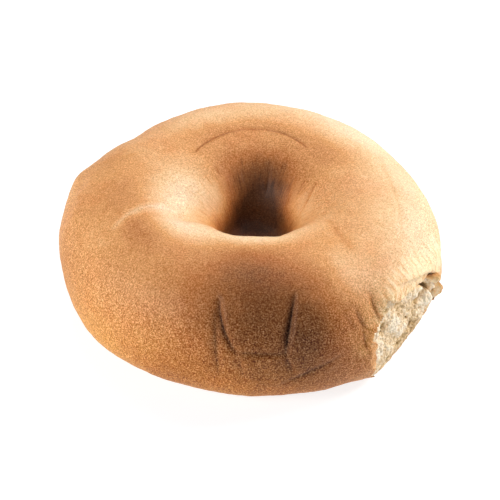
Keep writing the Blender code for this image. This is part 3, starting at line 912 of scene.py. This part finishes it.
def curl_tree():
    tree = new_tree("curl of crust")
    sizes = ("Half width", "Half height", "Proud")
    for name in sizes:
        tree_input(tree, name)
    tree_input(tree, "Finish", "NodeSocketMaterial")
    entry = tree.nodes.new("NodeGroupInput")
    half_width, half_height, proud = (Field(tree, entry.outputs[name]) for name in sizes)

    spine = put(tree, "GeometryNodeMeshLine", {"Count": CURL_STEPS[0], "Offset": (0.0, 0.0, 1.0)})
    spine = put(tree, "GeometryNodeMeshToCurve", {"Mesh": spine})
    hoop = put(tree, "GeometryNodeCurvePrimitiveCircle", {"Resolution": CURL_STEPS[1], "Radius": 1.0})
    inputs = {"Curve": spine, "Profile Curve": hoop, "Fill Caps": True}
    roll = put(tree, "GeometryNodeCurveToMesh", inputs)
    index = put(tree, "GeometryNodeInputIndex", {})
    step = maths("FLOOR", index / CURL_STEPS[1])
    share = step / (CURL_STEPS[0] - 1.0)
    turn = (index - step * CURL_STEPS[1]) * (math.tau / CURL_STEPS[1])

    # A point of the arc, and the way across it in the face
    run = (CURL_END[0] - CURL_START[0], CURL_END[1] - CURL_START[1])
    length = math.hypot(*run)
    beside = (-run[1] / length, run[0] / length)
    sag = share * (1.0 - share) * (4.0 * CURL_SAG)
    slope = (1.0 - share * 2.0) * (4.0 * CURL_SAG / length)
    steep = maths("SQRT", slope * slope + 1.0)
    along = share * run[0] + sag * beside[0] + CURL_START[0]
    level = share * run[1] + sag * beside[1] + CURL_START[1]
    across_along = (slope * (-run[0] / length) + beside[0]) / steep
    across_level = (slope * (-run[1] / length) + beside[1]) / steep

    # Two lumps joined by a thinner neck
    thick = ramp(share, 0.6, 0.85, *CURL_NECK)
    for middle, half_length, amount in CURL_LUMPS:
        thick = thick + amount * hill(share - middle, half_length)
    thick = thick * maths("SINE", share * math.pi) ** 0.4
    wide = thick * half_width * maths("COSINE", turn)
    high = thick * half_height * maths("SINE", turn)
    place = vector_of(tree, share * 22.0, wide, high)
    rough = (noise(place, 0.55, 3.0, 0.6) - 0.5) * 1.5 + (noise(place, 1.8, 3.0, 0.6) - 0.5) * 0.5
    wide = wide * (1.0 + rough * 0.6)
    high = high * (1.0 + rough * 0.6)
    # Cream on the inner side and brown on the outer; painted shade at the neck and by the upper end,
    # where it goes in under the crust, and a painted highlight on the upper lump
    neck_shade = hill(share - 0.47, 0.09) + hill(share - 0.1, 0.1)
    knob_highlight = hill(share - KNOB_PLACE, 0.12) * -0.6
    roll = kept(roll, "tone_and_painted_light", rough * 0.7 + 0.2 - maths("COSINE", turn) * 1.1 - neck_shade - knob_highlight)
    proud = proud + KNOB_PROUD * hill(share - KNOB_PLACE, 0.15)
    proud = proud - END_SINK * (1.0 - maths("SINE", share * math.pi)) ** 2.0
    place = on_face(tree, along + across_along * wide, level + across_level * wide, proud + high)
    roll = put(tree, "GeometryNodeSetPosition", {"Geometry": roll, "Position": place})
    roll = put(tree, "GeometryNodeMergeByDistance", {"Geometry": roll, "Distance": TIP_MERGE})
    roll = put(tree, "GeometryNodeTransform", {"Geometry": roll, "Scale": (METRES_PER_MM,) * 3})
    finish_tree(roll, entry)
    return tree


CURL_TONES = (
    (0.0, colour(132, 84, 40)),
    (0.35, colour(206, 148, 80)),
    (0.65, colour(238, 196, 138)),
    (1.0, colour(252, 232, 198)),
)


def curl_material():
    """Brown crust on the outer side that turns to cream crumb on the inner one, with painted shade at its
    neck and a painted highlight on its upper lump.
    """
    material, tree, shader = new_material("curled crust")
    place = put(tree, "ShaderNodeTexCoord", {}, "Object")
    light = kept_value(tree, "tone_and_painted_light") * 0.35 + 0.42
    light = light + (noise(place, 700.0, 3.0, 0.6) - 0.5) * 0.8
    plug(tree, colours(light, CURL_TONES), shader.inputs["Base Color"])
    shader.inputs["Roughness"].default_value = 0.7
    shader.inputs["Subsurface Weight"].default_value = 0.1
    shader.inputs["Subsurface Scale"].default_value = 0.0006
    grain = noise(place, 2200.0, 3.0, 0.65)
    bump = put(tree, "ShaderNodeBump", {"Height": grain, "Strength": 0.5, "Distance": 0.0003})
    plug(tree, bump, shader.inputs["Normal"])
    return material


curl = made_by(
    curl_tree(),
    "crust_curl",
    {
        "Half width": CURL_THICKNESS[0],
        "Half height": CURL_THICKNESS[1],
        "Proud": CURL_PROUD,
        "Finish": curl_material(),
    },
)
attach(curl, "root")
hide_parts("bagel")


# The table and the light: a pale ground with an even glow of its own, a large soft light from behind
# on the right, one on the left that catches the sides of the folds, and a weaker one overhead.

CAMERA_RISE = 39.0  # degrees above the table
CAMERA_DISTANCE = 600.0
CAMERA_AIM = (HOLE_PLACE[0] - 1.36, HOLE_PLACE[1], 16.0)
PICTURE_WIDTH = 500.0  # pixels
BAGEL_WIDTH = (110.0, 381.0)  # the width in mm, and in the picture's pixels
SENSOR_WIDTH = 36.0
TABLE_REACH = 3.0  # from its middle to each side, in metres

# Each light: name, place in metres, size, power in watts, and tint
WARM_WHITE = (1.0, 0.97, 0.93)
LIGHTS = (
    ("key from the right", (0.68, 0.24, 0.46), 0.35, 6.6, WARM_WHITE),
    ("side from the left", (-0.60, -0.33, 0.34), 0.3, 4.4, WARM_WHITE),
    ("overhead", (0.0, 0.45, 0.70), 0.5, 2.6, (1.0, 1.0, 1.0)),
)
LIGHT_AIM = (0.0, 0.0, 0.02)


def add_light(name, place, size, power, tint):
    light = bpy.data.lights.new(name, "AREA")
    light.energy = power
    light.size = size
    light.color = tint
    holder = bpy.data.objects.new(name, light)
    bpy.context.scene.collection.objects.link(holder)
    holder.location = place
    holder.rotation_euler = (Vector(LIGHT_AIM) - Vector(place)).to_track_quat("-Z", "Y").to_euler()


for row in LIGHTS:
    add_light(*row)

world = bpy.data.worlds.new("studio")
world.use_nodes = True
world.node_tree.nodes["Background"].inputs["Color"].default_value = (1.0, 1.0, 1.0, 1.0)
world.node_tree.nodes["Background"].inputs["Strength"].default_value = 0.15
bpy.context.scene.world = world

table_mesh = bpy.data.meshes.new("table")
corners = [(x * TABLE_REACH, y * TABLE_REACH, 0.0) for x, y in ((-1, -1), (1, -1), (1, 1), (-1, 1))]
table_mesh.from_pydata(corners, [], [(0, 1, 2, 3)])
table = bpy.data.objects.new("table", table_mesh)
bpy.context.scene.collection.objects.link(table)
table_material, _, table_shader = new_material("pale table")
table_shader.inputs["Base Color"].default_value = (0.35, 0.35, 0.35, 1.0)
table_shader.inputs["Emission Color"].default_value = (0.95, 0.98, 1.0, 1.0)
table_shader.inputs["Emission Strength"].default_value = 0.81
table_shader.inputs["Roughness"].default_value = 0.8
table_mesh.materials.append(table_material)

camera_data = bpy.data.cameras.new("camera")
pixels_per_mm = BAGEL_WIDTH[1] / BAGEL_WIDTH[0]
camera_data.sensor_width = SENSOR_WIDTH
camera_data.lens = SENSOR_WIDTH * pixels_per_mm * CAMERA_DISTANCE / PICTURE_WIDTH
camera = bpy.data.objects.new("camera", camera_data)
bpy.context.scene.collection.objects.link(camera)
rise = math.radians(CAMERA_RISE)
back = Vector((0.0, -math.cos(rise), math.sin(rise)))
camera.location = (Vector(CAMERA_AIM) + back * CAMERA_DISTANCE) * METRES_PER_MM
camera.rotation_euler = (-back).to_track_quat("-Z", "Y").to_euler()
bpy.context.scene.camera = camera
bpy.context.scene.view_settings.view_transform = "Standard"
